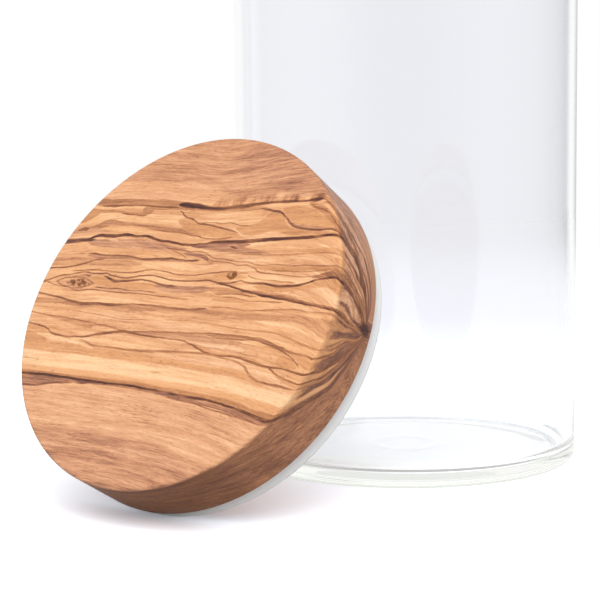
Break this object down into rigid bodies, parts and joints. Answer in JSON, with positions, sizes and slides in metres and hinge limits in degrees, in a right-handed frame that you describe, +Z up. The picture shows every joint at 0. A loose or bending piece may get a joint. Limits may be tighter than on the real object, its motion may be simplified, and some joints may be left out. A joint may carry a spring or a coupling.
{
  "type": "storage jar",
  "caption": "Straight-walled clear glass storage jar with a turned wooden push-in lid, taken off and leaning on the jar.",
  "frame": {"origin": "centre of the jar's flat underside", "axes": "+Z up along the jar's axis; the lid leans on the jar from the side of -X and -Y"},
  "size_m": [0.1519, 0.1568, 0.2],
  "materials": {
    "glass": "clear, polished",
    "olive_wood": "oiled, fine-sanded, strongly figured",
    "silicone": "translucent white, satin"
  },
  "bodies": {
    "jar": {"glass_jar": "glass"},
    "lid": {"wood_lid": "olive_wood", "seal_ring": "silicone"}
  },
  "joints": [
    {"name": "lid_lift", "type": "slide", "parent": "jar", "child": "lid", "axis": [0, 0, 1], "range_m": [0, 0.21]}
  ]
}
